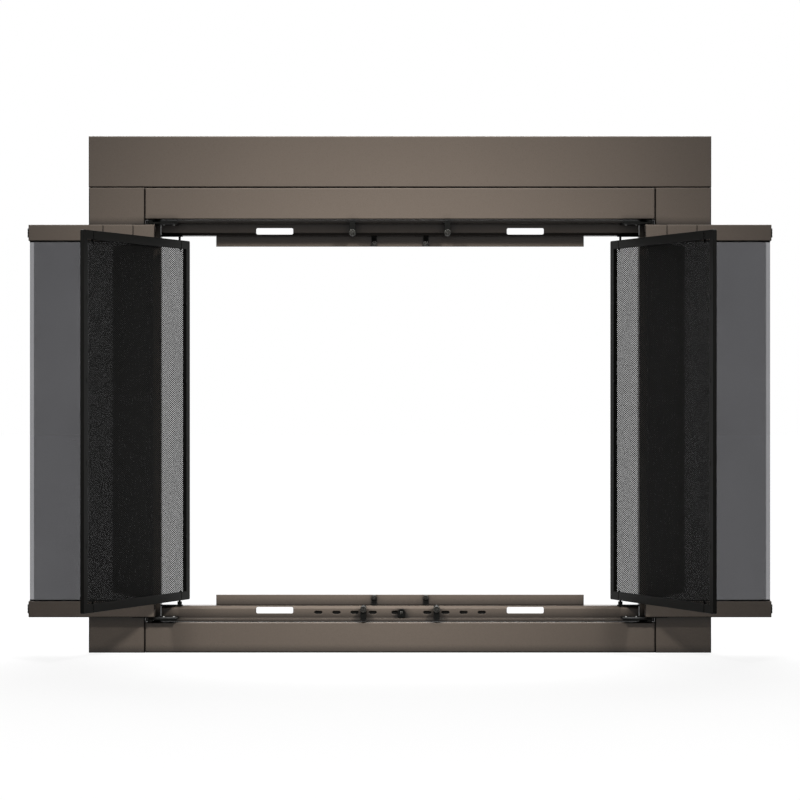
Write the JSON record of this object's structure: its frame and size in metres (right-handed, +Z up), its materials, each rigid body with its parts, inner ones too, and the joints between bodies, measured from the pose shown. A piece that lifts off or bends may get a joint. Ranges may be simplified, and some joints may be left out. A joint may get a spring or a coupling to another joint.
{
  "type": "fireplace glass door",
  "caption": "Fireplace door set in a folded steel frame: bifold smoked glass panels and mesh gates that swing out at each side, with a draught slider in the sill.",
  "frame": {"origin": "middle of the outer frame's underside, where it stands on the hearth, at mid-depth of the outer frame", "axes": "+X to the right along the opening as seen from the room, +Y into the firebox, +Z up"},
  "size_m": [1.1364, 0.344, 0.79],
  "materials": {
    "bronze": "fine-textured bronze powder coat, satin",
    "satin_black": "satin black powder coat",
    "black_mesh": "black woven spark mesh",
    "smoked_glass": "smoked tempered glass, polished",
    "gasket": "matt black glazing channel",
    "steel": "zinc-plated steel",
    "magnet": "dark nickel-plated magnet"
  },
  "bodies": {
    "frame": {"header": "bronze", "left_jamb": "bronze", "right_jamb": "bronze", "top_rail": "bronze", "bottom_rail": "bronze", "frame_screws": "steel", "inner_top": "bronze", "inner_bottom": "bronze", "inner_left": "bronze", "inner_right": "bronze", "upper_stop_bar": "bronze", "lower_stop_bar": "bronze", "door_catch_holders": "satin_black", "door_catch_magnets": "magnet", "gate_catch_holders": "satin_black", "gate_catch_magnets": "magnet", "slider_guides": "bronze", "pivot_brackets": "satin_black", "bracket_rivets": "steel", "gate_tabs": "satin_black"},
    "draught_control": {"draught_slider": "satin_black", "slider_knob": "satin_black"},
    "left_hinged_panel": {"left_hinged_top_rail": "bronze", "left_hinged_bottom_rail": "bronze", "left_hinged_pane": "smoked_glass", "left_hinged_gaskets": "gasket", "left_pivot_pins": "satin_black", "left_fold_pins": "satin_black"},
    "left_lead_panel": {"left_lead_top_rail": "bronze", "left_lead_bottom_rail": "bronze", "left_lead_pane": "smoked_glass", "left_lead_gaskets": "gasket", "left_fold_leaves": "satin_black"},
    "right_hinged_panel": {"right_hinged_top_rail": "bronze", "right_hinged_bottom_rail": "bronze", "right_hinged_pane": "smoked_glass", "right_hinged_gaskets": "gasket", "right_pivot_pins": "satin_black", "right_fold_pins": "satin_black"},
    "right_lead_panel": {"right_lead_top_rail": "bronze", "right_lead_bottom_rail": "bronze", "right_lead_pane": "smoked_glass", "right_lead_gaskets": "gasket", "right_fold_leaves": "satin_black"},
    "left_gate": {"left_gate_frame": "satin_black", "left_gate_mesh": "black_mesh", "left_gate_pins": "satin_black"},
    "right_gate": {"right_gate_frame": "satin_black", "right_gate_mesh": "black_mesh", "right_gate_pins": "satin_black"}
  },
  "joints": [
    {"name": "left_glass_pivot", "type": "hinge", "parent": "frame", "child": "left_hinged_panel", "pos_m": [-0.38065, -0.02325, 0], "axis": [0, 0, 1], "range_deg": [0, 180]},
    {"name": "left_glass_fold", "type": "hinge", "parent": "left_hinged_panel", "child": "left_lead_panel", "pos_m": [-0.56695, -0.02325, 0], "axis": [0, 0, 1], "range_deg": [-180, 0]},
    {"name": "left_gate_pivot", "type": "hinge", "parent": "frame", "child": "left_gate", "pos_m": [-0.3398, 0.0295, 0], "axis": [0, 0, 1], "range_deg": [0, 111]},
    {"name": "right_glass_pivot", "type": "hinge", "parent": "frame", "child": "right_hinged_panel", "pos_m": [0.38065, -0.02325, 0], "axis": [0, 0, -1], "range_deg": [0, 180]},
    {"name": "right_glass_fold", "type": "hinge", "parent": "right_hinged_panel", "child": "right_lead_panel", "pos_m": [0.56695, -0.02325, 0], "axis": [0, 0, -1], "range_deg": [-180, 0]},
    {"name": "right_gate_pivot", "type": "hinge", "parent": "frame", "child": "right_gate", "pos_m": [0.3398, 0.0295, 0], "axis": [0, 0, -1], "range_deg": [0, 110.2]},
    {"name": "draught_slide", "type": "slide", "parent": "frame", "child": "draught_control", "axis": [1, 0, 0], "range_m": [-0.0126, 0]}
  ],
  "couplings": [
    {"joint": "left_glass_fold", "follows": "left_glass_pivot", "ratio": -1},
    {"joint": "left_gate_pivot", "follows": "left_glass_pivot", "ratio": 0.61666},
    {"joint": "right_glass_fold", "follows": "right_glass_pivot", "ratio": -1},
    {"joint": "right_gate_pivot", "follows": "right_glass_pivot", "ratio": 0.61222}
  ]
}
